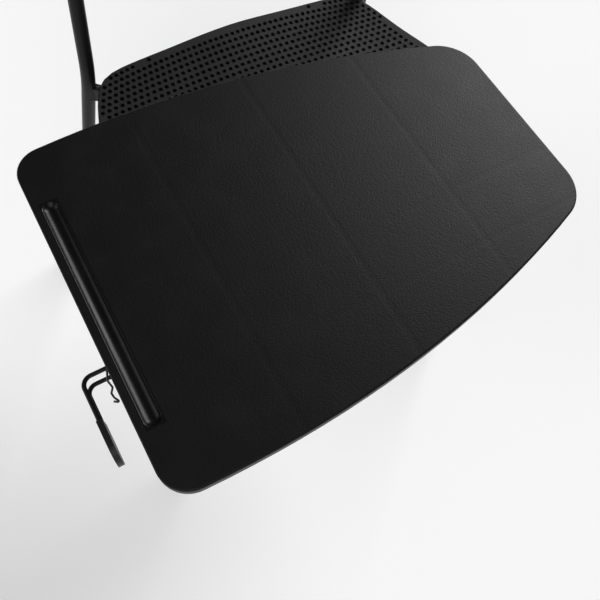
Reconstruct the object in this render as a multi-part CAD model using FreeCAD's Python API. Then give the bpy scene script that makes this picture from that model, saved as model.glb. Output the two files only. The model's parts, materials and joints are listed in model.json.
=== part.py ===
"""Student desk chair: steel tube frame, perforated seat and back, and a writing tablet that flips up.

Millimetres. +Z is up, the sitter faces -Y, and the sitter's right hand is on the -X side, where the
tablet's arm stands. The origin is on the floor, under the middle of the whole chair's box.
"""
import FreeCAD
import Part
import math
import os

V = FreeCAD.Vector
UP = V(0, 0, 1)

# ---- driving dimensions -------------------------------------------------------------------------
# seat shell
SEAT_WIDTH = 500.0
SEAT_DEPTH = 426.0
SEAT_HEIGHT = 435.0          # top of the seat at its middle
SEAT_THICK = 5.0
SEAT_RIM_DEEP = 12.0
SEAT_RIM_WIDE = 4.0
SEAT_SIDE_RISE = 14.0
SEAT_REAR_RISE = 16.0
SEAT_FRONT_DROP = 24.0
SEAT_BACK_EDGE_Y = 204.0     # rear edge

# back shell
BACK_INSET = 13.8            # the back's edge stands this far inside the uprights near the seat
BACK_LOW = SEAT_HEIGHT + 177.0
BACK_HIGH = BACK_LOW + 180.0
BACK_THICK = 4.0
BACK_HOLLOW = 22.0           # how deep the back is curved for the sitter
BACK_CORNER = 45.0

# frame tubes
TUBE_OD = 17.0
TUBE_WALL = 1.5
BEND_RADIUS = 45.0
CROSS_OD = 14.0
SADDLE_HIGH = 4.5            # between the rails and the shell, at the seat's middle
RAIL_HEIGHT = SEAT_HEIGHT - SEAT_THICK - SADDLE_HIGH - TUBE_OD / 2
UPRIGHT_TUCK = 7.5           # upright's inner side, at its bend, inside the seat's rear corner
UPRIGHT_AHEAD = 14.5         # upright's rear side, at its bend, ahead of the seat's rear edge
UPRIGHT_BEND_Z = SEAT_HEIGHT + 31.0
UPRIGHT_TOP_IN = 45.0        # top of the upright, inside and behind its bend
UPRIGHT_TOP_BACK = 63.0
UPRIGHT_TOP_Z = BACK_HIGH + 8.0
FRONT_LEG_Y = SEAT_BACK_EDGE_Y - SEAT_DEPTH + 50.0
FRONT_LEG_X = SEAT_WIDTH / 2 - 31.0
LEG_SPLAY_X = 26.0
FRONT_SPLAY_Y = 24.0
REAR_SPLAY_X = 73.0          # foot of the upright, outside and behind its bend
REAR_SPLAY_Y = 72.0
FOOT_HIGH = 30.0
FOOT_FLOOR = 5.0             # plastic under the end of a leg
FOOT_WALL = 3.0
FOOT_FLARE = 5.5
FRONT_RAIL_BACK = 48.0       # front cross rail, behind the front legs' bend
REAR_RAIL_DROP = 7.5         # seat's top at its middle to the centre of the rear cross rail
SIDE_RAIL_IN = 26.0          # the side rails meet the rear cross rail this far inside the uprights

# writing tablet
TABLET_LENGTH = 385.2
TABLET_WIDE = 274.0
TABLET_NARROW = 173.6
TABLET_SIDE_BOW = 22.4
TABLET_WIDE_CORNER = 22.5
TABLET_NARROW_CORNER = 35.0
TABLET_SKEW = 5.0            # how far the narrow end's middle is off the wide end's
TABLET_TOP = SEAT_HEIGHT + 235.0
TABLET_SKIN = 3.0
TABLET_SKIRT = 11.0
TABLET_SKIRT_WALL = 2.6
TABLET_EDGE_ROUND = 1.8
TABLET_Y = -205.0            # middle of the wide end
RIB_THICK = 2.0
RIB_DEEP = 6.4
RIB_COLUMNS = (93.3, 189.3, 285.3)
RIB_ROWS = (-80.0, -31.0, 31.0, 80.0)
GROOVE_LENGTH = 182.0
GROOVE_WIDE = 12.4
GROOVE_DEEP = 3.2
GROOVE_LIP = 0.9             # rounding of the groove's lips
GROOVE_INSET = 12.1          # wide end to the groove's middle
GROOVE_BED = 2.4             # extra plastic under the groove
TABLET_SCREW_PLACES = (82.8, 128.9, 178.8)
TABLET_SCREW_ROW = 56.0
TABLET_BOSS_R = 5.0

# tablet arm and flip hinge
ARM_OUT = 33.0               # arm's centre line outside the seat's widest place
ARM_DROP = 30.0              # tablet's top to the arm's centre line
TABLET_OVER = 33.3           # the wide end stands this far outside the arm
ARM_REAR_BACK = 153.0        # arm's post behind the tablet's middle
ARM_FRONT_AHEAD = 95.0
ARM_BEND = 34.0
ARM_FOOT_BEND = 24.0
RUN_CLEAR = 0.08             # radial, between the arm and what turns on it
BUSH_WALL = 2.0
BUSH_FLANGE = 1.5
KNUCKLE_WALL = 3.5
KNUCKLE_LONG = 24.0
KNUCKLE_REAR_BACK = 83.0     # behind the tablet's middle
KNUCKLE_FRONT_AHEAD = 66.0
PLATE_THICK = 3.0
PLATE_REACH = 175.0          # how far the steel plate runs under the tablet
PLATE_WIDE = 172.0
PLATE_CORNER = 10.0
KNUCKLE_FOOT = 6.0           # thickness of the flange that is screwed to the plate
KNUCKLE_REACH = 34.0
KNUCKLE_SCREW = 24.0         # arm's centre line to the knuckle's screw
GUSSET_THICK = 4.0
GUSSET_HIGH = 20.0
STOP_THICK = 4.0
STOP_WIDE = 24.0
STOP_REACH = 30.0
STOP_AHEAD = 30.0            # behind the middle between the knuckles
PAD_THICK = 3.0
PAD_R = 7.0

# release lever
LEVER_AHEAD = 34.4           # in front of the tablet's middle
LEVER_COLLAR_LONG = 16.0
LEVER_COLLAR_WALL = 3.0
LEVER_WIRE = 3.2
LEVER_GAP = 14.0             # between the two wires' centres
LEVER_STEP = 2.0             # how far the upper wire stands behind the lower one
LEVER_OUT = 52.0             # arm's centre line to the wires' bend
LEVER_RUN = 42.0
LEVER_TOE = 0.3              # how far the long run closes in on the tablet
LEVER_BEND = 7.0
GRIP_LONG = 31.0
GRIP_OVERLAP = 12.0          # wire held inside the grip
GRIP_THICK = 4.2
GRIP_HIGH = 18.0
GRIP_TOP_ROUND = 14.0
GRIP_LOW_ROUND = 3.0
SPRING_WIRE = 1.2
SPRING_TURNS = 5
SPRING_PITCH = 2.4
SPRING_LEG_WIRE = 1.5
SPRING_LEG_BEND = 1.0

# fasteners and small parts
SCREW_HEAD_R = 4.4
SCREW_HEAD_H = 2.2
SCREW_SHANK_R = 2.0
SADDLE_LONG = 36.0
SADDLE_WIDE = 22.0
SADDLE_FRONT = 0.245         # share of the way along a side rail
SADDLE_REAR = 0.66
SADDLE_ABOVE = 40.0          # height of the block before the shell cuts it
REST_GAP = 0.3               # left between pieces that only rest near each other
LUG_HIGH = 20.0
LUG_NECK = 10.0
LUG_ABOVE = 4.0              # middle of the lug above the seat's middle
RIVET_OUT = 5.1              # upright's surface to the rivet's centre
RIVET_R = 1.6
RIVET_HEAD_R = 2.5
RIVET_HEAD_H = 1.1

# half of the seat's outline, rear middle to front middle, as shares of half the width and half the depth
SEAT_CORNER = (0.79, 0.808)
SEAT_EDGE = [(0.0, 1.0), (0.19, 0.991), (0.37, 0.974), (0.53, 0.957), (0.645, 0.936), (0.71, 0.909),
             (0.758, 0.865), SEAT_CORNER, (0.816, 0.742), (0.845, 0.65), (0.885, 0.52),
             (0.937, 0.356), (0.983, 0.12), (1.0, -0.17), (0.985, -0.49), (0.93, -0.76),
             (0.80, -0.93), (0.55, -0.985), (0.0, -1.0)]

TUBE_R = TUBE_OD / 2
CROSS_R = CROSS_OD / 2
UPRIGHT_X = SEAT_CORNER[0] * SEAT_WIDTH / 2 - UPRIGHT_TUCK + TUBE_R
UPRIGHT_Y = SEAT_BACK_EDGE_Y - UPRIGHT_AHEAD - TUBE_R
REAR_RAIL_Z = SEAT_HEIGHT - REAR_RAIL_DROP
BACK_WIDTH = 2 * (UPRIGHT_X - BACK_INSET)
ARM_X = -SEAT_WIDTH / 2 - ARM_OUT
ARM_Z = TABLET_TOP - ARM_DROP
TABLET_X = ARM_X - TABLET_OVER
ARM_REAR_Y = TABLET_Y + ARM_REAR_BACK
ARM_FRONT_Y = TABLET_Y - ARM_FRONT_AHEAD
KNUCKLE_REAR_Y = TABLET_Y + KNUCKLE_REAR_BACK
KNUCKLE_FRONT_Y = TABLET_Y - KNUCKLE_FRONT_AHEAD
LEVER_Y = TABLET_Y - LEVER_AHEAD
BELOW_FLOOR = -14.0          # legs are drawn to here, then cut at their feet
SEAT_MID_Y = SEAT_BACK_EDGE_Y - SEAT_DEPTH / 2

nodes = {}


# ---- helpers ------------------------------------------------------------------------------------
def box(x0, x1, y0, y1, z0, z1):
    return Part.makeBox(x1 - x0, y1 - y0, z1 - z0, V(x0, y0, z0))


def rod(start, end, radius):
    return Part.makeCylinder(radius, (end - start).Length, start, end - start)


def ring(start, end, outer, inner):
    return rod(start, end, outer).cut(rod(start, end, inner))


def bent_path(points, bend):
    """Straight runs joined by tangent arcs of one radius."""
    edges = []
    last = points[0]
    for before, corner, after in zip(points, points[1:], points[2:]):
        into = (before - corner).normalize()
        out = (after - corner).normalize()
        half = into.getAngle(out) / 2
        reach = bend / math.tan(half)
        start = corner + into * reach
        end = corner + out * reach
        middle = (into + out).normalize()
        apex = corner + middle * (bend / math.sin(half) - bend)
        edges.append(Part.LineSegment(last, start).toShape())
        edges.append(Part.Arc(start, apex, end).toShape())
        last = end
    edges.append(Part.LineSegment(last, points[-1]).toShape())
    return Part.Wire(edges)


def bar(points, bend, radius):
    """Solid round bar along a bent path."""
    path = bent_path(points, bend)
    section = Part.Wire(Part.makeCircle(radius, points[0], points[1] - points[0]))
    return path.makePipeShell([section], True, True)


def tube(points, bend, radius=TUBE_R, wall=TUBE_WALL):
    """Returns the hollow tube and its outer bar, which other pieces are cut back to."""
    outer = bar(points, bend, radius)
    return outer.cut(bar(points, bend, radius - wall)), outer


def mirrored(shape):
    return shape.mirror(V(0, 0, 0), V(1, 0, 0))


def both_sides(name, shape):
    """The sitter's right is modelled, and the left is its mirror image."""
    nodes[name + "_right"] = shape
    nodes[name + "_left"] = mirrored(shape)


def screw(head_seat, direction, shank):
    """Pan-head screw: its head stands out against direction, its shank runs along it."""
    aim = V(direction).normalize()
    head = Part.makeCylinder(SCREW_HEAD_R, SCREW_HEAD_H, head_seat, aim * -1)
    rim = max(head.Edges, key=lambda edge: (edge.CenterOfMass - head_seat).dot(aim * -1))
    head = head.makeFillet(SCREW_HEAD_H * 0.45, [rim])
    slot_tool = Part.makeCylinder(1.5, 1.2, head_seat - aim * SCREW_HEAD_H, aim)
    return head.fuse(Part.makeCylinder(SCREW_SHANK_R, shank, head_seat, aim)).cut(slot_tool).removeSplitter()


def spline_ring(points):
    curve = Part.BSplineCurve()
    curve.interpolate(points, True)
    return Part.Wire(curve.toShape())


# ---- seat shell ---------------------------------------------------------------------------------
def seat_outline(inset):
    half_x = SEAT_WIDTH / 2 - inset
    half_y = SEAT_DEPTH / 2 - inset
    right = [V(-x * half_x, SEAT_MID_Y + y * half_y, 0) for x, y in SEAT_EDGE]
    left = [V(-p.x, p.y, 0) for p in reversed(right[1:-1])]
    return spline_ring(right + left)


def seat_top(x, y):
    """Height of the sitting surface: raised sides and rear, dropped front, shallow middle."""
    across = abs(x) / (SEAT_WIDTH / 2)
    along = (y - SEAT_MID_Y) / (SEAT_DEPTH / 2)
    z = SEAT_HEIGHT + SEAT_SIDE_RISE * across ** 3
    z += SEAT_REAR_RISE * max(along, 0) ** 3
    z -= SEAT_FRONT_DROP * max(-along - 0.55, 0) ** 2 / 0.45 ** 2
    return z


def seat_sheet(below):
    """The sitting surface lowered by below, a little larger than the seat."""
    count = 19
    half_x = SEAT_WIDTH / 2 + 12
    half_y = SEAT_DEPTH / 2 + 12
    grid = []
    for i in range(count):
        x = half_x * (2 * i / (count - 1) - 1)
        ys = [SEAT_MID_Y + half_y * (2 * j / (count - 1) - 1) for j in range(count)]
        grid.append([V(x, y, seat_top(x, y) - below) for y in ys])
    surface = Part.BSplineSurface()
    surface.interpolate(grid)
    return surface.toShape()


def seat_prism(inset):
    face = Part.Face(seat_outline(inset))
    face.translate(V(0, 0, SEAT_HEIGHT - 80))
    return face.extrude(V(0, 0, 160))


def seat_shell():
    skin = seat_sheet(0).extrude(V(0, 0, -SEAT_THICK)).common(seat_prism(0))
    band = seat_prism(0).cut(seat_prism(SEAT_RIM_WIDE))
    rim = seat_sheet(0).extrude(V(0, 0, -SEAT_RIM_DEEP)).common(band)
    return skin.fuse(rim).removeSplitter()


# ---- frame --------------------------------------------------------------------------------------
def upright_points():
    """Rear foot to the top of the back, on the sitter's right."""
    return [V(-UPRIGHT_X - REAR_SPLAY_X, UPRIGHT_Y + REAR_SPLAY_Y, BELOW_FLOOR),
            V(-UPRIGHT_X, UPRIGHT_Y, UPRIGHT_BEND_Z),
            V(-UPRIGHT_X + UPRIGHT_TOP_IN, UPRIGHT_Y + UPRIGHT_TOP_BACK, UPRIGHT_TOP_Z)]


def on_upright(z):
    """Centre of the right upright at a height."""
    points = upright_points()
    for low, high in zip(points, points[1:]):
        if low.z <= z <= high.z:
            return low + (high - low) * ((z - low.z) / (high.z - low.z))
    return points[-1]


def floor_cut():
    reach = 900
    return box(-reach, reach, -reach, reach, -80, FOOT_FLOOR)


def foot(leg_outer, low, high):
    """Plastic cup on the end of a leg, flat on the floor."""
    at_floor = low + (high - low) * ((FOOT_FLOOR - low.z) / (high.z - low.z))
    at_top = low + (high - low) * ((FOOT_HIGH - low.z) / (high.z - low.z))
    base = V(at_floor.x, at_floor.y, 0)
    lower = Part.makeCylinder(TUBE_R + FOOT_FLARE, FOOT_FLOOR + 2, base)
    sleeve = rod(V(at_floor.x, at_floor.y, FOOT_FLOOR), at_top, TUBE_R + FOOT_WALL)
    bottom = [edge for edge in lower.Edges if edge.CenterOfMass.z < 0.01]
    lower = lower.makeFillet(1.5, [bottom[0]])
    cup = lower.fuse(sleeve).removeSplitter()
    return cup.cut(leg_outer.cut(floor_cut()))


def frame():
    points = upright_points()
    upright, upright_outer = tube(points, BEND_RADIUS * 3)
    upright = upright.cut(floor_cut())
    both_sides("back_upright", upright)
    both_sides("foot_rear", foot(upright_outer, points[0], points[1]))

    # the front leg bends back into the side rail, whose end is butted against the rear cross rail
    post = on_upright(REAR_RAIL_Z)
    leg_points = [V(-FRONT_LEG_X - LEG_SPLAY_X, FRONT_LEG_Y - FRONT_SPLAY_Y, BELOW_FLOOR),
                  V(-FRONT_LEG_X, FRONT_LEG_Y, RAIL_HEIGHT),
                  V(post.x + SIDE_RAIL_IN, post.y, REAR_RAIL_Z)]
    leg, leg_outer = tube(leg_points, BEND_RADIUS)
    rear_rail = rod(V(post.x, post.y, REAR_RAIL_Z), V(0, post.y, REAR_RAIL_Z), CROSS_R)
    leg = leg.cut(floor_cut()).cut(rear_rail)
    leg = max(leg.Solids, key=lambda solid: solid.Volume)
    both_sides("front_leg", leg)
    both_sides("foot_front", foot(leg_outer, leg_points[0], leg_points[1]))

    top = points[-1]
    lean = (points[-1] - points[-2]).normalize()
    plug = Part.makeCylinder(TUBE_R, 2.5, top, lean)
    rim = max(plug.Edges, key=lambda edge: edge.CenterOfMass.z)
    plug = plug.makeFillet(2.0, [rim])
    stem = Part.makeCylinder(TUBE_R - TUBE_WALL, 16, top - lean * 16, lean)
    both_sides("upright_cap", plug.fuse(stem).removeSplitter())

    def cross(name, y, z, half, trims):
        hollow = ring(V(-half, y, z), V(half, y, z), CROSS_R, CROSS_R - TUBE_WALL)
        for trim in trims:
            hollow = hollow.cut(trim).cut(mirrored(trim))
        nodes[name] = max(hollow.Solids, key=lambda solid: abs(solid.BoundBox.XLength))

    cross("seat_rail_front", FRONT_LEG_Y + FRONT_RAIL_BACK, RAIL_HEIGHT, FRONT_LEG_X, [leg_outer])
    cross("seat_rail_rear", post.y, REAR_RAIL_Z, -post.x, [upright_outer])
    back_z = (BACK_LOW + BACK_HIGH) / 2
    post = on_upright(back_z)
    cross("back_rail", post.y, back_z, -post.x, [upright_outer])
    return upright_outer, leg_outer, leg_points, rear_rail


def seat(upright_outer, leg_outer, leg_points, rear_rail):
    shell = seat_shell()
    under = seat_sheet(SEAT_THICK).extrude(V(0, 0, 60))
    screws = []
    corner, rail_end = leg_points[1], leg_points[2]
    for place, name in ((SADDLE_FRONT, "seat_saddle_front"), (SADDLE_REAR, "seat_saddle_rear")):
        middle = corner + (rail_end - corner) * place
        block = box(middle.x - SADDLE_WIDE / 2, middle.x + SADDLE_WIDE / 2,
                    middle.y - SADDLE_LONG / 2, middle.y + SADDLE_LONG / 2,
                    middle.z, SEAT_HEIGHT + SADDLE_ABOVE)
        block = block.cut(under).cut(leg_outer).cut(shell)
        block = max(block.Solids, key=lambda solid: solid.CenterOfMass.z)
        head = V(middle.x, middle.y, seat_top(middle.x, middle.y) - 0.6)
        hole = Part.makeCylinder(SCREW_SHANK_R, 60, head - UP * 50, UP)
        sink = Part.makeCylinder(SCREW_HEAD_R, 20, head, UP)
        for cutter in (hole, sink):
            shell = shell.cut(cutter).cut(mirrored(cutter))
        both_sides(name, block.cut(hole))
        pin = screw(head, -UP, head.z - middle.z - TUBE_R - 0.5)
        screws += [pin, mirrored(pin)]
    nodes["seat_screws"] = Part.makeCompound(screws)

    # flared lug between each upright and the seat's rear corner
    lug_z = SEAT_HEIGHT + LUG_ABOVE
    post = on_upright(lug_z)
    inward = V(1, -1, 0).normalize()
    side = V(inward.y, -inward.x, 0)
    wide, narrow = TUBE_R * 0.95, LUG_NECK / 2
    shoulder, reach = TUBE_R + 2.2, TUBE_R + 26
    corners = [post - side * wide, post - side * narrow + inward * shoulder,
               post - side * narrow + inward * reach, post + side * narrow + inward * reach,
               post + side * narrow + inward * shoulder, post + side * wide]
    corners = [V(p.x, p.y, lug_z - LUG_HIGH / 2) for p in corners]
    lug = Part.Face(Part.makePolygon(corners + corners[:1])).extrude(V(0, 0, LUG_HIGH))
    lug = lug.cut(upright_outer).cut(rear_rail).cut(seat_prism(0))
    lug = max(lug.Solids, key=lambda solid: solid.Volume)
    rivet_at = V(post.x, post.y, lug_z) + inward * (TUBE_R + RIVET_OUT)
    half = UP * (LUG_HIGH / 2)
    shank = rod(rivet_at - half, rivet_at + half, RIVET_R)
    rivet = shank
    for end, way in ((rivet_at + half, UP), (rivet_at - half, -UP)):
        head = Part.makeCylinder(RIVET_HEAD_R, RIVET_HEAD_H, end, way)
        rim = max(head.Edges, key=lambda edge: (edge.CenterOfMass - end).dot(way))
        rivet = rivet.fuse(head.makeFillet(RIVET_HEAD_H * 0.7, [rim]))
    rivet = rivet.removeSplitter()
    both_sides("seat_lug", lug.cut(shank))
    nodes["lug_rivets"] = Part.makeCompound([rivet, mirrored(rivet)])
    nodes["seat_shell"] = shell


# ---- back shell ---------------------------------------------------------------------------------
def back_front(x, z):
    """Y of the back's front face: hollow across its width and leaning with the uprights."""
    post_low = on_upright(BACK_LOW)
    post_high = on_upright(BACK_HIGH)
    lean = (post_high.y - post_low.y) / (BACK_HIGH - BACK_LOW)
    middle_z = (BACK_LOW + BACK_HIGH) / 2
    across = x / (BACK_WIDTH / 2)
    waist = (z - middle_z) / ((BACK_HIGH - BACK_LOW) / 2)
    plane = post_low.y + lean * (z - BACK_LOW) - TUBE_R - BACK_THICK - 1.0
    return plane - BACK_HOLLOW * across ** 2 - 5 * (1 - waist ** 2)


def back_sheet(behind):
    count = 13
    grid = []
    for i in range(count):
        x = (BACK_WIDTH / 2 + 12) * (2 * i / (count - 1) - 1)
        low, high = BACK_LOW - 12, BACK_HIGH + 12
        zs = [low + (high - low) * j / (count - 1) for j in range(count)]
        grid.append([V(x, back_front(x, z) + behind, z) for z in zs])
    surface = Part.BSplineSurface()
    surface.interpolate(grid)
    return surface.toShape()


def back(upright_outer):
    slab = box(-BACK_WIDTH / 2, BACK_WIDTH / 2, 0, 400, BACK_LOW, BACK_HIGH)
    corners = [edge for edge in slab.Edges if abs(edge.tangentAt(edge.FirstParameter).y) > 0.99]
    slab = slab.makeFillet(BACK_CORNER, corners)
    shell = back_sheet(0).extrude(V(0, BACK_THICK, 0)).common(slab)
    solid_front = back_sheet(BACK_THICK).extrude(V(0, -80, 0))
    screws = []
    for z in (BACK_LOW + 40, BACK_HIGH - 40):
        post = on_upright(z)
        block = box(post.x - 9, post.x + 9, post.y - TUBE_R - 45, post.y, z - 11, z + 11)
        block = block.cut(solid_front).cut(upright_outer)
        block = min(block.Solids, key=lambda solid: solid.CenterOfMass.y)
        head = V(post.x, back_front(post.x, z) + 0.6, z)
        hole = Part.makeCylinder(SCREW_SHANK_R, 60, head, V(0, 1, 0))
        sink = Part.makeCylinder(SCREW_HEAD_R, 20, head, V(0, -1, 0))
        for cutter in (hole, sink):
            shell = shell.cut(cutter).cut(mirrored(cutter))
        name = "back_spacer_low" if z < (BACK_LOW + BACK_HIGH) / 2 else "back_spacer_high"
        both_sides(name, block.cut(hole))
        pin = screw(head, V(0, 1, 0), post.y - TUBE_R - head.y - 0.4)
        screws += [pin, mirrored(pin)]
    nodes["back_shell"] = shell
    nodes["back_screws"] = Part.makeCompound(screws)


# ---- writing tablet -----------------------------------------------------------------------------
def tablet_side(start, end, bow):
    """A bowed side: an arc whose middle stands out by bow."""
    chord = end - start
    out = V(chord.y, -chord.x, 0).normalize()
    return start, (start + end) * 0.5 + out * bow, end


def tablet_outline(inset, z):
    wide = TABLET_WIDE / 2
    narrow = TABLET_NARROW / 2
    far = TABLET_X + TABLET_LENGTH
    middle = TABLET_Y + TABLET_SKEW
    a = V(TABLET_X, TABLET_Y - wide, 0)
    b = V(far, middle - narrow, 0)
    c = V(far, middle + narrow, 0)
    d = V(TABLET_X, TABLET_Y + wide, 0)
    front = Part.Arc(*tablet_side(a, b, TABLET_SIDE_BOW)).toShape()
    rear = Part.Arc(*tablet_side(c, d, TABLET_SIDE_BOW)).toShape()
    edges = [front, Part.makeLine(b, c), rear, Part.makeLine(d, a)]
    slab = Part.Face(Part.Wire(edges)).extrude(UP * 10)
    upright = [edge for edge in slab.Edges if abs(edge.tangentAt(edge.FirstParameter).z) > 0.99]
    wide_corners = [edge for edge in upright if edge.CenterOfMass.x < TABLET_X + 1]
    slab = slab.makeFillet(TABLET_WIDE_CORNER, wide_corners)
    upright = [edge for edge in slab.Edges if abs(edge.tangentAt(edge.FirstParameter).z) > 0.99]
    narrow_corners = [edge for edge in upright if edge.CenterOfMass.x > far - 1]
    slab = slab.makeFillet(TABLET_NARROW_CORNER, narrow_corners)
    face = max(slab.Faces, key=lambda f: f.CenterOfMass.z)
    wire = face.OuterWire
    wire.translate(V(0, 0, z - 10))
    if inset:
        wire = wire.makeOffset2D(-inset)
    return wire


def tablet_screw_places():
    """Screws up into bosses that the steel plate covers."""
    rows = (TABLET_Y - TABLET_SCREW_ROW, TABLET_Y + TABLET_SCREW_ROW)
    return [V(TABLET_X + along, row, 0) for along in TABLET_SCREW_PLACES for row in rows]


def tablet():
    bottom = TABLET_TOP - TABLET_SKIRT
    body = Part.Face(tablet_outline(0, bottom)).extrude(UP * TABLET_SKIRT)
    top_edges = [edge for edge in body.Edges if edge.BoundBox.ZMin > TABLET_TOP - 0.01]
    body = body.makeFillet(TABLET_EDGE_ROUND, top_edges)
    hollow = Part.Face(tablet_outline(TABLET_SKIRT_WALL, bottom - 1))
    body = body.cut(hollow.extrude(UP * (TABLET_SKIRT - TABLET_SKIN + 1)))

    inside = Part.Face(tablet_outline(TABLET_SKIRT_WALL - 0.5, bottom)).extrude(UP * TABLET_SKIRT)
    roof = TABLET_TOP - TABLET_SKIN + 0.5
    low = TABLET_TOP - TABLET_SKIN - RIB_DEEP
    ribs = []
    for row in RIB_ROWS:
        y = TABLET_Y + row
        ribs.append(box(TABLET_X, TABLET_X + TABLET_LENGTH,
                        y - RIB_THICK / 2, y + RIB_THICK / 2, low, roof))
    for column in RIB_COLUMNS:
        x = TABLET_X + column
        ribs.append(box(x - RIB_THICK / 2, x + RIB_THICK / 2,
                        TABLET_Y - TABLET_WIDE, TABLET_Y + TABLET_WIDE, low, roof))
    for place in tablet_screw_places():
        ribs.append(Part.makeCylinder(TABLET_BOSS_R, roof - low, V(place.x, place.y, low)))
    groove_x = TABLET_X + GROOVE_INSET
    bed = GROOVE_WIDE / 2 + GROOVE_BED
    ribs.append(box(groove_x - bed, groove_x + bed, TABLET_Y - GROOVE_LENGTH / 2 - GROOVE_BED,
                    TABLET_Y + GROOVE_LENGTH / 2 + GROOVE_BED, roof - 0.5 - GROOVE_BED, roof))
    ribs = ribs[0].multiFuse(ribs[1:]).common(inside)
    body = body.fuse(ribs)
    for place in tablet_screw_places():
        body = body.cut(Part.makeCylinder(SCREW_SHANK_R, RIB_DEEP, V(place.x, place.y, low)))

    # pen groove: a round-bottomed channel with ball ends and rounded lips
    chord = GROOVE_WIDE / 2 - GROOVE_LIP / 2
    radius = (chord ** 2 + GROOVE_DEEP ** 2) / (2 * GROOVE_DEEP)
    centre_z = TABLET_TOP - GROOVE_DEEP + radius
    half = GROOVE_LENGTH / 2 - GROOVE_LIP / 2 - chord
    start, end = V(groove_x, TABLET_Y - half, centre_z), V(groove_x, TABLET_Y + half, centre_z)
    channel = rod(start, end, radius)
    for ball in (start, end):
        channel = channel.fuse(Part.makeSphere(radius, ball))
    body = body.cut(channel).removeSplitter()
    near = GROOVE_WIDE / 2 + 1
    lips = [edge for edge in body.Edges
            if edge.BoundBox.ZMin > TABLET_TOP - 0.01 and abs(edge.BoundBox.XMin - groove_x) < near
            and abs(edge.BoundBox.XMax - groove_x) < near]
    return body.makeFillet(GROOVE_LIP, lips)


# ---- tablet arm, hinge and lever ----------------------------------------------------------------
def arm(leg_outer, leg_points):
    corner, rail_end = leg_points[1], leg_points[2]
    share = (ARM_REAR_Y - corner.y) / (rail_end.y - corner.y)
    root = corner + (rail_end - corner) * share
    points = [root, V(ARM_X, ARM_REAR_Y, RAIL_HEIGHT), V(ARM_X, ARM_REAR_Y, ARM_Z),
              V(ARM_X, ARM_FRONT_Y, ARM_Z)]
    path_outer = bar(points, ARM_FOOT_BEND, TUBE_R)
    arm_tube = path_outer.cut(bar(points, ARM_FOOT_BEND, TUBE_R - TUBE_WALL)).cut(leg_outer)
    nodes["arm_tube"] = max(arm_tube.Solids, key=lambda solid: solid.Volume)
    end = V(ARM_X, ARM_FRONT_Y, ARM_Z)
    forward = V(0, -1, 0)
    cap = Part.makeCylinder(TUBE_R, 3, end, forward)
    rim = min(cap.Edges, key=lambda edge: edge.CenterOfMass.y)
    cap = cap.makeFillet(2.2, [rim])
    cap = cap.fuse(Part.makeCylinder(TUBE_R - TUBE_WALL, 14, end - forward * 14, forward))
    nodes["arm_cap"] = cap.removeSplitter()

    # triangular gusset under the arm's foot
    low = RAIL_HEIGHT - TUBE_R
    inner_x = root.x - TUBE_R + 1
    start_y = ARM_REAR_Y - GUSSET_THICK / 2
    corners = [V(inner_x, start_y, low - GUSSET_HIGH), V(inner_x, start_y, low + 4),
               V(ARM_X + ARM_FOOT_BEND, start_y, low + 4)]
    web = Part.Face(Part.makePolygon(corners + corners[:1])).extrude(V(0, GUSSET_THICK, 0))
    gusset = web.cut(path_outer).cut(leg_outer)
    nodes["arm_gusset"] = max(gusset.Solids, key=lambda solid: solid.Volume)
    return path_outer


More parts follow.
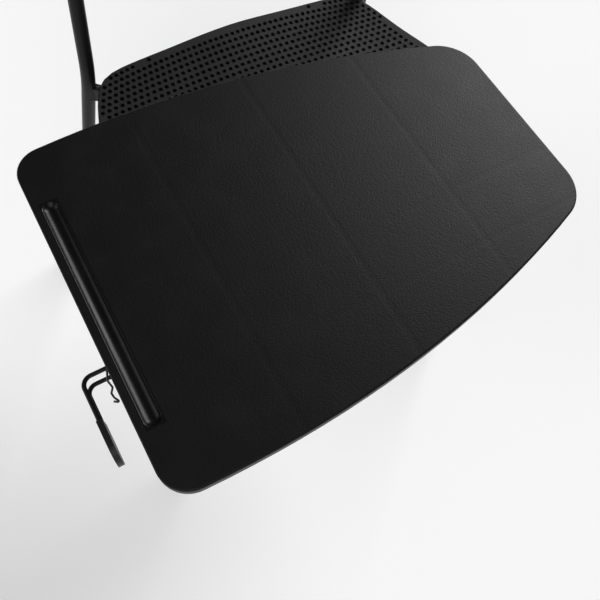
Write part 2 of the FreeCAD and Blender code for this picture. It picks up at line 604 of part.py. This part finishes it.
def hinge():
    """Two plastic knuckles with bushes turn on the arm and carry the steel plate."""
    bush_in = TUBE_R + RUN_CLEAR
    bush_out = bush_in + BUSH_WALL
    knuckle_out = bush_out + KNUCKLE_WALL
    plate_top = TABLET_TOP - TABLET_SKIN - RIB_DEEP
    plate_low = plate_top - PLATE_THICK
    half = KNUCKLE_LONG / 2
    screws = []
    plate = box(ARM_X - knuckle_out, ARM_X + PLATE_REACH, TABLET_Y - PLATE_WIDE / 2,
                TABLET_Y + PLATE_WIDE / 2, plate_low, plate_top)
    corners = [edge for edge in plate.Edges if abs(edge.tangentAt(edge.FirstParameter).z) > 0.99]
    plate = plate.makeFillet(PLATE_CORNER, corners)
    window_x = ARM_X + PLATE_REACH * 0.55
    half_window = PLATE_WIDE * 0.2
    window = box(window_x - half_window, window_x + half_window, TABLET_Y - half_window,
                 TABLET_Y + half_window, plate_low - 1, plate_top + 1)
    corners = [edge for edge in window.Edges if abs(edge.tangentAt(edge.FirstParameter).z) > 0.99]
    plate = plate.cut(window.makeFillet(PLATE_CORNER + 2, corners))
    foot_low = plate_low - KNUCKLE_FOOT
    for name, y in (("front", KNUCKLE_FRONT_Y), ("rear", KNUCKLE_REAR_Y)):
        start, end = V(ARM_X, y - half, ARM_Z), V(ARM_X, y + half, ARM_Z)
        bush = ring(start, end, bush_out, bush_in)
        for lip_start, lip_end in ((V(ARM_X, y - half - BUSH_FLANGE, ARM_Z), start),
                                   (end, V(ARM_X, y + half + BUSH_FLANGE, ARM_Z))):
            bush = bush.fuse(ring(lip_start, lip_end, bush_out + 1.5, bush_in))
        nodes["hinge_bush_" + name] = bush.removeSplitter()
        body = rod(start, end, knuckle_out)
        body = body.fuse(box(ARM_X - knuckle_out, ARM_X + KNUCKLE_REACH,
                             y - half, y + half, foot_low, plate_low))
        body = body.fuse(box(ARM_X - knuckle_out * 0.8, ARM_X + knuckle_out * 0.8, y - half, y + half,
                             ARM_Z, plate_low))
        body = body.cut(rod(start, end, bush_out))
        head = V(ARM_X + KNUCKLE_SCREW, y, foot_low)
        hole = Part.makeCylinder(SCREW_SHANK_R, 30, head, UP)
        body = body.cut(hole)
        plate = plate.cut(hole)
        screws.append(screw(head, UP, KNUCKLE_FOOT + PLATE_THICK + 1.5))
        nodes["hinge_knuckle_" + name] = body.removeSplitter()
    nodes["knuckle_screws"] = Part.makeCompound(screws)

    screws = []
    for place in tablet_screw_places():
        head = V(place.x, place.y, plate_low)
        plate = plate.cut(Part.makeCylinder(SCREW_SHANK_R, 20, head - UP, UP))
        screws.append(screw(head, UP, PLATE_THICK + RIB_DEEP - 0.8))
    nodes["tablet_screws"] = Part.makeCompound(screws)
    nodes["tablet_plate"] = plate

    # steel ear on the arm, with a rubber pad that the plate comes down on
    stop_y = (KNUCKLE_FRONT_Y + KNUCKLE_REAR_Y) / 2 + STOP_AHEAD
    ear_top = plate_low - PAD_THICK - REST_GAP
    ear = box(ARM_X, ARM_X + STOP_REACH, stop_y - STOP_WIDE / 2, stop_y + STOP_WIDE / 2,
              ear_top - STOP_THICK, ear_top)
    web = box(ARM_X, ARM_X + STOP_REACH / 2,
              stop_y - STOP_THICK / 2, stop_y + STOP_THICK / 2, ARM_Z, ear_top)
    outer = rod(V(ARM_X, ARM_FRONT_Y, ARM_Z), V(ARM_X, ARM_REAR_Y - ARM_FOOT_BEND, ARM_Z), TUBE_R)
    nodes["stop_ear"] = ear.fuse(web).cut(outer).removeSplitter()
    pad_at = V(ARM_X + STOP_REACH * 0.68, stop_y, ear_top)
    nodes["stop_pad"] = Part.makeCylinder(PAD_R, PAD_THICK, pad_at)


# the spring's free leg: out from the wires' bend, back from the lever's middle, up from the arm
SPRING_LEG = [(18.5, 6.0, 0.0), (16.9, 0.7, -1.0), (15.0, -5.0, -1.5), (16.2, -10.3, -2.0),
              (13.8, -13.8, -2.0), (14.3, -17.6, -1.5), (17.2, -23.2, -1.0), (13.0, -20.6, 0.8)]


def lever():
    """Wire lever with a moulded finger grip, on a collar that turns on the arm."""
    collar_in = TUBE_R + RUN_CLEAR
    collar_out = collar_in + LEVER_COLLAR_WALL
    half = LEVER_COLLAR_LONG / 2
    start, end = V(ARM_X, LEVER_Y - half, ARM_Z), V(ARM_X, LEVER_Y + half, ARM_Z)
    lobe = box(ARM_X - collar_out - 3, ARM_X, LEVER_Y - half, LEVER_Y + half,
               ARM_Z - LEVER_GAP / 2 - 3, ARM_Z + LEVER_GAP / 2 + 3)
    collar = rod(start, end, collar_out).fuse(lobe).cut(rod(start, end, collar_in))

    run_x = ARM_X - LEVER_OUT
    wires = []
    for way in (-1, 1):
        z = ARM_Z + way * LEVER_GAP / 2
        y = LEVER_Y + way * LEVER_STEP / 2
        points = [V(ARM_X - collar_out + 0.5, y, z), V(run_x, y, z),
                  V(run_x + LEVER_TOE, LEVER_Y - LEVER_RUN, z)]
        wires.append(bar(points, LEVER_BEND, LEVER_WIRE / 2))
    for wire in wires:
        collar = collar.cut(wire)
    nodes["lever_collar"] = max(collar.Solids, key=lambda solid: solid.Volume)
    nodes["lever_wires"] = Part.makeCompound(wires)

    # paddle on the ends of the wires, its upper corner well rounded
    grip_start = LEVER_Y - LEVER_RUN + GRIP_OVERLAP
    grip_end = grip_start - GRIP_LONG
    slab = box(run_x - GRIP_THICK / 2, run_x + GRIP_THICK / 2, grip_end, grip_start,
               ARM_Z - GRIP_HIGH / 2, ARM_Z + GRIP_HIGH / 2)
    for above, radius in ((True, GRIP_TOP_ROUND), (False, GRIP_LOW_ROUND)):
        tip = [edge for edge in slab.Edges
               if edge.CenterOfMass.y < grip_end + 0.1 and abs(edge.tangentAt(edge.FirstParameter).x) > 0.99
               and (edge.CenterOfMass.z > ARM_Z) == above]
        slab = slab.makeFillet(radius, tip)
    toe = math.degrees(math.atan2(LEVER_TOE, LEVER_RUN))
    slab.rotate(V(run_x, LEVER_Y, ARM_Z), UP, toe)
    for wire in wires:
        slab = slab.cut(wire)
    nodes["lever_grip"] = slab

    # return spring round the arm, beside the collar
    coil_r = TUBE_R + SPRING_WIRE / 2 + 0.5
    length = SPRING_TURNS * SPRING_PITCH
    helix = Part.makeLongHelix(SPRING_PITCH, length, coil_r)
    section = Part.Wire(Part.makeCircle(SPRING_WIRE / 2, V(coil_r, 0, 0), V(0, 1, 0)))
    coil = Part.Wire(helix).makePipeShell([section], True, True)
    coil.rotate(V(0, 0, 0), V(1, 0, 0), -90)
    coil.translate(V(ARM_X, end.y + SPRING_WIRE / 2 + 0.3, ARM_Z))
    nodes["lever_spring"] = coil

    # the spring's free leg passes between the two wires and ends in a small hook
    leg_x = ARM_X - coil_r - SPRING_WIRE
    leg = [V(leg_x, end.y + SPRING_WIRE + 1.2, ARM_Z)]
    leg += [V(run_x + out, LEVER_Y + back, ARM_Z + rise) for out, back, rise in SPRING_LEG]
    nodes["spring_leg"] = bar(leg, SPRING_LEG_BEND, SPRING_LEG_WIRE / 2)
    keep_y = end.y + length + SPRING_WIRE + 0.7
    nodes["spring_keeper"] = ring(V(ARM_X, keep_y, ARM_Z), V(ARM_X, keep_y + 4, ARM_Z), TUBE_R + 3, collar_in)


# ---- build --------------------------------------------------------------------------------------
upright_outer, leg_outer, leg_points, rear_rail = frame()
seat(upright_outer, leg_outer, leg_points, rear_rail)
back(upright_outer)
arm(leg_outer, leg_points)
hinge()
lever()
nodes["tablet"] = tablet()

whole = FreeCAD.BoundBox()
for shape in nodes.values():
    whole.add(shape.optimalBoundingBox(False))
shift = V(-whole.Center.x, -whole.Center.y, -whole.ZMin)

os.makedirs("parts", exist_ok=True)
for name, shape in nodes.items():
    shape.translate(shift)
    shape.exportStep("parts/" + name + ".step")

print("shift", shift)
print("size", whole.XLength, whole.YLength, whole.ZLength)
for name, shape in nodes.items():
    print(name, len(shape.Solids), round(shape.Volume), shape.isValid())
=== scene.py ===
"""Looks of the student desk chair: perforated shells, a grained writing tablet and a coated frame."""
import json
import math

import bmesh
import bpy
from mathutils import Matrix, Vector
from mathutils.bvhtree import BVHTree


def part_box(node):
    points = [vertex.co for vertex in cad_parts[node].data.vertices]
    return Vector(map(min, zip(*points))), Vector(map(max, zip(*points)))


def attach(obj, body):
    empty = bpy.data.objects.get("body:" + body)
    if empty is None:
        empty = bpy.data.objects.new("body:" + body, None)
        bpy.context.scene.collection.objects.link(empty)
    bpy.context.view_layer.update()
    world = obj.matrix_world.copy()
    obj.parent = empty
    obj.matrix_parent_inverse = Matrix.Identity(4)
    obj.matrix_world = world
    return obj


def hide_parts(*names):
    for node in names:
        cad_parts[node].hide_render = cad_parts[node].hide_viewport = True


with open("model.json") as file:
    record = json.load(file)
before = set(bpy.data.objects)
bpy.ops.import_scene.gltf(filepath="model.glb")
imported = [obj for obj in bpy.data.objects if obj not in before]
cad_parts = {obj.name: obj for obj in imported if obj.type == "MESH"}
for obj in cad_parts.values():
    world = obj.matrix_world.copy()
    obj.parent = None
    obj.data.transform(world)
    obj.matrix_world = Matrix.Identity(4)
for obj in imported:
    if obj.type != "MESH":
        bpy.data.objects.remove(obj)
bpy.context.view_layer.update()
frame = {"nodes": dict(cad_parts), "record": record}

MM = 0.001

# holes in the seat and back
HOLE_R = 2.8 * MM
HOLE_PITCH_ACROSS = 10.6 * MM
HOLE_PITCH_ALONG = 9.5 * MM
HOLE_SIDES = 3               # edges that each side of a cell's inner square is cut into
CELL_INSET = 1.2 * MM
WELD = 0.005 * MM
EDGE_MARGIN = 2.4 * MM       # plain border outside the outermost holes
LEAST_BORDER = 2.3 * MM      # from the outline to the nearest corner of a cell
OUTLINE_POINTS = 180
OUTLINE_SHARE = 0.9995       # of the way to the sheet's edge
CORNER_CROWDING = 0.12
EDGE_HALVINGS = 22           # steps that find the edge in one direction
START_ABOVE = 50 * MM        # rays start this far above a sheet
SCREW_CLEARANCE = 9 * MM     # from a screw's middle to the middle of the nearest hole
SEAT_TAPER = 0.27            # the seat's columns of holes lean in with its sides towards the back
TAPER_POWER = 1.6
SEAT_BOW = 0.102             # the seat's rows of holes bend with its back edge
SEAT_POCKET = 4.2 * MM       # the seat's holes are blind, and look black from above

# shells
SEAT_THICK = 5.0 * MM
SEAT_SKIRT = 10.0 * MM
BACK_SKIRT = 2.7 * MM
SHELL_ROUND = 1.6 * MM
ROUND_STEPS = 3
BACK_WALL = 2.4 * MM

# tablet
RIB_ROWS = (-80 * MM, -31 * MM, 31 * MM, 80 * MM)
RIB_COLUMNS = (93.3 * MM, 189.3 * MM, 285.3 * MM)
GROOVE_INSET = 12.1 * MM
GROOVE_HALF_LONG = 91 * MM
GROOVE_HALF_WIDE = 6.2 * MM
GROOVE_LIP = 1.4 * MM        # over which the groove's edge blends into the grain
MOULD_SHIFT = 1.1 * MM       # how far the groove and the ribs lie in front of the tablet's middle
MARK_HALF_WIDE = (0.6 * MM, 4.2 * MM)

# camera
CAMERA_AT = Vector((-0.27596, -0.35485, 1.06050))
CAMERA_RIGHT = Vector((0.863, -0.4954, 0.1005))
CAMERA_UP = Vector((0.4188, 0.8119, 0.4058))
CAMERA_AHEAD = Vector((0.2826, 0.308, -0.908))
CAMERA_LENS = 37.2

# light
WORLD_SEEN = 0.82            # added where the camera sees the sky itself
WORLD_LIGHT = 0.12
FLOOR_GLOW = 0.16            # only seen, it lights nothing
SOFT_SUNS = {                # towards the light, spread in degrees, strength
    "key_light": ((0.80, 0.35, 0.49), 34, 2.8),
    "front_light": ((-0.35, -0.65, 0.67), 50, 1.1),
    "side_light": ((-0.85, 0.25, 0.46), 30, 0.45),
}


# ---- shader building ----------------------------------------------------------------------------
class Value:
    """A shader socket on which sums and products can be written."""

    def __init__(self, tree, socket):
        self.tree = tree
        self.socket = socket

    def math(self, operation, first, second):
        node = self.tree.nodes.new("ShaderNodeMath")
        node.operation = operation
        for slot, item in zip(node.inputs, (first, second)):
            if isinstance(item, Value):
                self.tree.links.new(item.socket, slot)
            else:
                slot.default_value = item
        return Value(self.tree, node.outputs[0])

    def __add__(self, other):
        return self.math("ADD", self, other)

    def __sub__(self, other):
        return self.math("SUBTRACT", self, other)

    def __rsub__(self, other):
        return self.math("SUBTRACT", other, self)

    def __mul__(self, other):
        return self.math("MULTIPLY", self, other)

    def __abs__(self):
        return self.math("ABSOLUTE", self, 0.0)

    __radd__ = __add__
    __rmul__ = __mul__


class Finish:
    """A procedural material round one Principled shader."""

    def __init__(self, name, **constants):
        self.material = bpy.data.materials.new(name)
        self.material.use_nodes = True
        self.tree = self.material.node_tree
        self.shader = self.tree.nodes["Principled BSDF"]
        for socket, value in constants.items():
            self.shader.inputs[socket.replace("_", " ")].default_value = value
        self.place = self.add("ShaderNodeTexCoord", {}, {}, "Object")

    def add(self, kind, settings, sockets, output=0):
        node = self.tree.nodes.new(kind)
        for key, value in settings.items():
            setattr(node, key, value)
        for key, value in sockets.items():
            if isinstance(value, Value):
                self.tree.links.new(value.socket, node.inputs[key])
            else:
                node.inputs[key].default_value = value
        return Value(self.tree, node.outputs[output])

    def noise(self, size, detail=2.0):
        return self.add("ShaderNodeTexNoise", {},
                        {"Vector": self.place, "Scale": 1 / size, "Detail": detail, "Roughness": 0.5})

    def pebbles(self, size):
        return self.add("ShaderNodeTexVoronoi", {"feature": "F1"},
                        {"Vector": self.place, "Scale": 1 / size}, "Distance")

    def axis(self, letter):
        return self.add("ShaderNodeSeparateXYZ", {}, {0: self.place}, letter)

    def ramp(self, value, low, high, to_low=0.0, to_high=1.0):
        return self.add("ShaderNodeMapRange", {"interpolation_type": "SMOOTHSTEP"},
                        {"Value": value, "From Min": low, "From Max": high,
                         "To Min": to_low, "To Max": to_high})

    def blend(self, mask, dark, light):
        return self.add("ShaderNodeMix", {"data_type": "RGBA"},
                        {0: mask, 6: (*dark, 1), 7: (*light, 1)}, 2)

    def bump(self, height, depth, strength=1.0):
        return self.add("ShaderNodeBump", {}, {"Height": height, "Distance": depth, "Strength": strength})

    def feed(self, **sockets):
        for socket, value in sockets.items():
            self.tree.links.new(value.socket, self.shader.inputs[socket.replace("_", " ")])
        return self.material


# ---- materials ----------------------------------------------------------------------------------
def tablet_finish():
    """Black moulded plastic: pebble grain, a smooth groove and faint sink marks over the ribs."""
    finish = Finish("tablet_plastic", Specular_IOR_Level=0.2)
    low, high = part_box("tablet")
    middle_y = (low.y + high.y) / 2 - MOULD_SHIFT
    x = finish.axis("X")
    y = finish.axis("Y")
    across = abs(x - (low.x + GROOVE_INSET))
    along = abs(y - middle_y)
    in_groove = finish.ramp(across, GROOVE_HALF_WIDE, GROOVE_HALF_WIDE + GROOVE_LIP, 1, 0)
    in_groove = in_groove * finish.ramp(along, GROOVE_HALF_LONG, GROOVE_HALF_LONG + GROOVE_LIP, 1, 0)
    on_top = finish.ramp(finish.axis("Z"), high.z - 2.2 * MM, high.z - 1.2 * MM)
    grained = (1 - in_groove) * on_top

    pebble = finish.pebbles(1.25 * MM)
    fine = finish.noise(0.55 * MM, 3)
    broad = finish.noise(26 * MM, 3)
    height = (1 - pebble) * 0.75 + fine * 0.45
    grain = finish.bump(height * grained, 0.16 * MM, 0.75)

    ribs = [abs(y - (middle_y + place)) for place in RIB_ROWS]
    ribs += [abs(x - (low.x + place)) for place in RIB_COLUMNS]
    marks = [finish.ramp(rib, *MARK_HALF_WIDE, 1, 0) for rib in ribs]
    sink = marks[0]
    for mark in marks[1:]:
        sink = sink + mark
    marked = finish.add("ShaderNodeBump", {"invert": True},
                        {"Height": sink * on_top, "Distance": 0.10 * MM, "Strength": 0.5,
                         "Normal": grain})
    roughness = 0.41 + broad * 0.10 + fine * 0.08 - in_groove * 0.16
    wear = finish.ramp(broad, 0.45, 0.75)
    colour = finish.blend(wear * 0.6, (0.0022, 0.0022, 0.0023), (0.0042, 0.0042, 0.0044))
    return finish.feed(Base_Color=colour, Roughness=roughness, Normal=marked)


def shell_finish():
    """Black moulded shell: fine grain and slightly glossier than the tablet."""
    finish = Finish("shell_plastic", Specular_IOR_Level=0.3)
    fine = finish.noise(0.8 * MM, 3)
    broad = finish.noise(40 * MM, 2)
    colour = finish.blend(broad, (0.006, 0.006, 0.0065), (0.010, 0.010, 0.0105))
    roughness = 0.36 + broad * 0.10 + fine * 0.08
    return finish.feed(Base_Color=colour, Roughness=roughness, Normal=finish.bump(fine, 0.06 * MM, 0.6))


def coated_finish():
    """Black powder coat on steel, with a fine orange-peel surface."""
    finish = Finish("frame_steel", Specular_IOR_Level=0.2)
    peel = finish.noise(1.3 * MM, 2)
    speck = finish.noise(0.35 * MM, 2)
    broad = finish.noise(55 * MM, 2)
    colour = finish.blend(broad, (0.007, 0.007, 0.0075), (0.012, 0.012, 0.0125))
    roughness = 0.30 + broad * 0.10 + speck * 0.08
    normal = finish.bump(peel * 0.8 + speck * 0.3, 0.07 * MM, 0.55)
    return finish.feed(Base_Color=colour, Roughness=roughness, Normal=normal)


def fitting_finish():
    """Smooth black nylon with moulding sheen."""
    finish = Finish("fitting_plastic", Specular_IOR_Level=0.35)
    fine = finish.noise(0.6 * MM, 3)
    broad = finish.noise(12 * MM, 2)
    colour = finish.blend(broad, (0.011, 0.011, 0.0115), (0.019, 0.019, 0.0195))
    roughness = 0.36 + broad * 0.12 + fine * 0.06
    return finish.feed(Base_Color=colour, Roughness=roughness, Normal=finish.bump(fine, 0.05 * MM, 0.5))


def rubber_finish():
    """Dull black rubber, dusty where it scuffs."""
    finish = Finish("foot_rubber", Specular_IOR_Level=0.35)
    fine = finish.noise(0.7 * MM, 4)
    dust = finish.ramp(finish.noise(9 * MM, 4), 0.52, 0.72)
    low = finish.ramp(finish.axis("Z"), 1 * MM, 9 * MM, 1, 0)
    colour = finish.blend(dust * low * 0.8 + dust * 0.15, (0.017, 0.017, 0.017), (0.060, 0.057, 0.052))
    return finish.feed(Base_Color=colour, Roughness=0.62 + fine * 0.15,
                       Normal=finish.bump(fine, 0.09 * MM, 0.6))


def metal_finish(name, dark, light, rough):
    """Plated or drawn steel with fine scratches along it."""
    finish = Finish(name, Metallic=1.0)
    fine = finish.noise(0.4 * MM, 3)
    broad = finish.noise(5 * MM, 3)
    colour = finish.blend(broad, dark, light)
    return finish.feed(Base_Color=colour, Roughness=rough + fine * 0.12 + broad * 0.08,
                       Normal=finish.bump(fine, 0.02 * MM, 0.4))


# ---- mesh helpers -------------------------------------------------------------------------------
def publish(bm, name, material, body):
    """Turns a bmesh into a flat-shaded piece that rides on a body."""
    mesh = bpy.data.meshes.new(name)
    bm.to_mesh(mesh)
    bm.free()
    piece = bpy.data.objects.new(name, mesh)
    bpy.context.scene.collection.objects.link(piece)
    mesh.materials.append(material)
    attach(piece, body)
    return piece


def cad_tree(node):
    mesh = frame["nodes"][node].data
    return BVHTree.FromPolygons([v.co for v in mesh.vertices], [p.vertices for p in mesh.polygons])


class Sheet:
    """A CAD shell seen along one axis: where it is, how high it stands and where it ends."""

    def __init__(self, node, down, across, along):
        self.tree = cad_tree(node)
        low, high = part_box(node)
        self.down = Vector(down)
        self.across = Vector(across)
        self.along = Vector(along)
        size = high - low
        self.half_across = abs(size.dot(self.across)) / 2
        self.half_along = abs(size.dot(self.along)) / 2
        self.start = (low + high) / 2 - self.down * (abs(size.dot(self.down)) / 2 + START_ABOVE)

    def level(self, flat):
        """A flat place or direction, turned into the frame's axes."""
        return self.across * flat.x + self.along * flat.y

    def hit(self, a, b):
        """The shell's face at a place across and along, or None outside it."""
        origin = self.start + self.across * a + self.along * b
        return self.tree.ray_cast(origin, self.down)[0]

    def edge(self, turn):
        """The outline's place in one direction from the middle."""
        ray = Vector((math.cos(turn), math.sin(turn)))
        inside, outside = 0.0, 2 * max(self.half_across, self.half_along)
        for _ in range(EDGE_HALVINGS):
            between = (inside + outside) / 2
            if self.hit(ray.x * between, ray.y * between) is None:
                outside = between
            else:
                inside = between
        return ray * inside


def round_cells(bm, cells):
    """Opens each cell with a round edge and returns the edges of the openings."""
    bmesh.ops.inset_individual(bm, faces=cells, thickness=CELL_INSET)
    loops = [(face.calc_center_median(), list(face.edges)) for face in cells]
    bmesh.ops.delete(bm, geom=cells, context="FACES_ONLY")
    rings = []
    for centre, edges in loops:
        split = bmesh.ops.subdivide_edges(bm, edges=edges, cuts=HOLE_SIDES - 1)
        ring = [item for item in split["geom_split"] if isinstance(item, bmesh.types.BMEdge)]
        for vert in {vert for edge in ring for vert in edge.verts}:
            vert.co = centre + (vert.co - centre).normalized() * HOLE_R
        rings += ring
    return rings


def outline_of(sheet):
    """Places round a sheet's edge, closer together at its corners than on its sides."""
    outline = []
    for i in range(OUTLINE_POINTS):
        turn = 2 * math.pi * i / OUTLINE_POINTS
        turn -= CORNER_CROWDING * math.sin(4 * turn)
        outline.append(sheet.edge(turn) * OUTLINE_SHARE)
    return outline


def lay_cells(bm, sheet, outline, taper, bow, screws):
    """A flat grid of the cells that lie clear of the outline and of the screws."""
    columns = round(2 * sheet.half_across / HOLE_PITCH_ACROSS)
    rows = round(2 * sheet.half_along / HOLE_PITCH_ALONG)
    bmesh.ops.create_grid(bm, x_segments=columns, y_segments=rows, size=1.0)
    for vert in bm.verts:
        a, b = vert.co.x, vert.co.y
        vert.co.x = a * sheet.half_across * (1 - taper * max(b, 0) ** TAPER_POWER)
        vert.co.y = b * sheet.half_along * (1 - bow * a * a)

    def from_edge(point):
        return min((Vector(point[:2]) - spot).length for spot in outline)

    def clear(face):
        centre = face.calc_center_median()
        places = [centre] + [vert.co for vert in face.verts]
        return (all(sheet.hit(place.x, place.y) is not None for place in places)
                and from_edge(centre) > EDGE_MARGIN + HOLE_R
                and all(from_edge(vert.co) > LEAST_BORDER for vert in face.verts)
                and all((centre.xy - spot).length > SCREW_CLEARANCE for spot in screws))

    bmesh.ops.delete(bm, geom=[face for face in bm.faces if not clear(face)], context="FACES")
    return list(bm.faces)


def add_border(bm, outline, outwards):
    """Plain surface between the cells and the rounded rim, and in each screw's gap."""
    boundary = [edge for edge in bm.edges if edge.is_boundary]
    rim_verts = [bm.verts.new((*(spot - out * SHELL_ROUND), 0)) for spot, out in zip(outline, outwards)]
    rim_edges = [bm.edges.new((rim_verts[i - 1], rim_verts[i])) for i in range(len(rim_verts))]
    bmesh.ops.triangle_fill(bm, use_beauty=True, use_dissolve=False, edges=boundary + rim_edges)
    return rim_verts


def add_rim(bm, sheet, top, bottom, outwards, skirt):
    """The rim: a quarter round, straight down, in, and up to the underside."""
    turns = [math.pi / 2 * (i + 1) / ROUND_STEPS for i in range(ROUND_STEPS)]
    drops = [(SHELL_ROUND * math.sin(turn), SHELL_ROUND * (1 - math.cos(turn))) for turn in turns]
    drops += [(SHELL_ROUND, SHELL_ROUND + skirt), (0, SHELL_ROUND + skirt)]
    levels = [top]
    for out, fall in drops:
        shifts = [sheet.level(way) * out + sheet.down * fall for way in outwards]
        levels.append([bm.verts.new(vert.co + shift) for vert, shift in zip(top, shifts)])
    levels.append(bottom)
    for above, below in zip(levels, levels[1:]):
        for i in range(len(below)):
            bm.faces.new((above[i - 1], above[i], below[i], below[i - 1]))


def dig_holes(bm, sheet, cells, twin_cells, wall, pocket):
    """Gives each hole a wall that ends in the underside's hole, or in a floor of its own."""
    dug = bmesh.ops.extrude_edge_only(bm, edges=round_cells(bm, cells))["geom"]
    ends = [item for item in dug if isinstance(item, bmesh.types.BMVert)]
    if pocket is None:
        bmesh.ops.translate(bm, verts=ends, vec=sheet.down * wall)
        round_cells(bm, twin_cells)
        bmesh.ops.remove_doubles(bm, verts=bm.verts, dist=WELD)
    else:
        bmesh.ops.translate(bm, verts=ends, vec=sheet.down * pocket)
        loops = [item for item in dug if isinstance(item, bmesh.types.BMEdge) and item.is_boundary]
        bmesh.ops.holes_fill(bm, edges=loops, sides=0)


def perforated(sheet, name, node, screws, skirt, wall, pocket=None, taper=0.0, bow=0.0):
    """A moulded shell with round holes or blind pockets, a plain border and a turned-down rim."""
    bm = bmesh.new()
    outline = outline_of(sheet)
    runs = [outline[(i + 1) % len(outline)] - outline[i - 1] for i in range(len(outline))]
    outwards = [Vector((run.y, -run.x)).normalized() for run in runs]
    cells = lay_cells(bm, sheet, outline, taper, bow, screws)
    rim_verts = add_border(bm, outline, outwards)
    for vert in bm.verts:
        depth = (sheet.hit(vert.co.x, vert.co.y) - sheet.start).dot(sheet.down)
        vert.co = sheet.start + sheet.level(vert.co) + sheet.down * depth

    # the underside is the same sheet lower down
    copied = bmesh.ops.duplicate(bm, geom=bm.verts[:] + bm.edges[:] + bm.faces[:])
    twin_cells = [copied["face_map"][cell] for cell in cells]
    lowered = [item for item in copied["geom"] if isinstance(item, bmesh.types.BMVert)]
    bmesh.ops.translate(bm, verts=lowered, vec=sheet.down * wall)

    add_rim(bm, sheet, rim_verts, [copied["vert_map"][vert] for vert in rim_verts], outwards, skirt)
    dig_holes(bm, sheet, cells, twin_cells, wall, pocket)
    bmesh.ops.recalc_face_normals(bm, faces=bm.faces)
    if bm.calc_volume(signed=True) < 0:
        bmesh.ops.reverse_faces(bm, faces=bm.faces)
    piece = publish(bm, name, MATERIALS["shell_plastic"], "chair")
    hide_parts(node)


# ---- scene --------------------------------------------------------------------------------------
MATERIALS = {
    "tablet_plastic": tablet_finish(),
    "shell_plastic": shell_finish(),
    "frame_steel": coated_finish(),
    "fitting_plastic": fitting_finish(),
    "foot_rubber": rubber_finish(),
    "screw_steel": metal_finish("screw_steel", (0.05, 0.05, 0.052), (0.09, 0.09, 0.093), 0.34),
    "spring_steel": metal_finish("spring_steel", (0.10, 0.10, 0.105), (0.20, 0.20, 0.205), 0.30),
}


def dress_cad():
    slots = {part["node"]: part["material_slot"] for part in frame["record"]["subparts"]}
    for node, item in frame["nodes"].items():
        item.data.materials.clear()
        item.data.materials.append(MATERIALS[slots[node]])


def screw_spots(node, sheet):
    """Places of the separate screws in a node, as seen on a sheet."""
    bm = bmesh.new()
    bm.from_mesh(frame["nodes"][node].data)
    bmesh.ops.remove_doubles(bm, verts=bm.verts, dist=1e-6)
    spots = []
    left = set(bm.verts)
    while left:
        group, todo = [], [left.pop()]
        while todo:
            vert = todo.pop()
            group.append(vert.co)
            for edge in vert.link_edges:
                other = edge.other_vert(vert)
                if other in left:
                    left.discard(other)
                    todo.append(other)
        centre = sum(group, Vector()) / len(group) - sheet.start
        spots.append(Vector((centre.dot(sheet.across), centre.dot(sheet.along))))
    bm.free()
    return spots


def shells():
    seat = Sheet("seat_shell", (0, 0, -1), (1, 0, 0), (0, 1, 0))
    perforated(seat, "seat_perforated", "seat_shell", screw_spots("seat_screws", seat),
               SEAT_SKIRT, SEAT_THICK, SEAT_POCKET, SEAT_TAPER, SEAT_BOW)
    back = Sheet("back_shell", (0, 1, 0), (1, 0, 0), (0, 0, 1))
    perforated(back, "back_perforated", "back_shell", screw_spots("back_screws", back),
               BACK_SKIRT, BACK_WALL)


def surroundings():
    bpy.ops.mesh.primitive_plane_add(size=9)
    floor = bpy.context.object
    floor.name = "studio_floor"
    finish = Finish("studio_floor", Roughness=0.9, Specular_IOR_Level=0.1)
    finish.shader.inputs["Base Color"].default_value = (0.9, 0.9, 0.9, 1)
    finish.shader.inputs["Emission Color"].default_value = (1, 1, 1, 1)
    ray = finish.add("ShaderNodeLightPath", {}, {}, "Is Camera Ray")
    glossy = finish.add("ShaderNodeLightPath", {}, {}, "Is Glossy Ray")
    finish.feed(Emission_Strength=(ray + glossy) * FLOOR_GLOW)
    floor.data.materials.append(finish.material)

    world = bpy.data.worlds.new("studio")
    world.use_nodes = True
    background = world.node_tree.nodes["Background"]
    path = world.node_tree.nodes.new("ShaderNodeLightPath")
    mix = world.node_tree.nodes.new("ShaderNodeMath")
    mix.operation = "MULTIPLY_ADD"
    mix.inputs[1].default_value = WORLD_SEEN
    mix.inputs[2].default_value = WORLD_LIGHT
    world.node_tree.links.new(path.outputs["Is Camera Ray"], mix.inputs[0])
    world.node_tree.links.new(mix.outputs[0], background.inputs["Strength"])
    background.inputs["Color"].default_value = (1, 1, 1, 1)
    bpy.context.scene.world = world

    for name, (towards, spread, strength) in SOFT_SUNS.items():
        data = bpy.data.lights.new(name, "SUN")
        data.angle = math.radians(spread)
        data.energy = strength
        item = bpy.data.objects.new(name, data)
        item.rotation_euler = Vector(towards).to_track_quat("Z", "Y").to_euler()
        bpy.context.scene.collection.objects.link(item)


def photographer():
    data = bpy.data.cameras.new("camera")
    data.lens = CAMERA_LENS
    data.sensor_width = 36
    data.clip_start = 0.01
    item = bpy.data.objects.new("camera", data)
    turn = Matrix((CAMERA_RIGHT, CAMERA_UP, -CAMERA_AHEAD)).transposed().to_4x4()
    item.matrix_world = Matrix.Translation(CAMERA_AT) @ turn
    bpy.context.scene.collection.objects.link(item)
    bpy.context.scene.camera = item
    bpy.context.scene.view_settings.view_transform = "Standard"


dress_cad()
shells()
surroundings()
photographer()
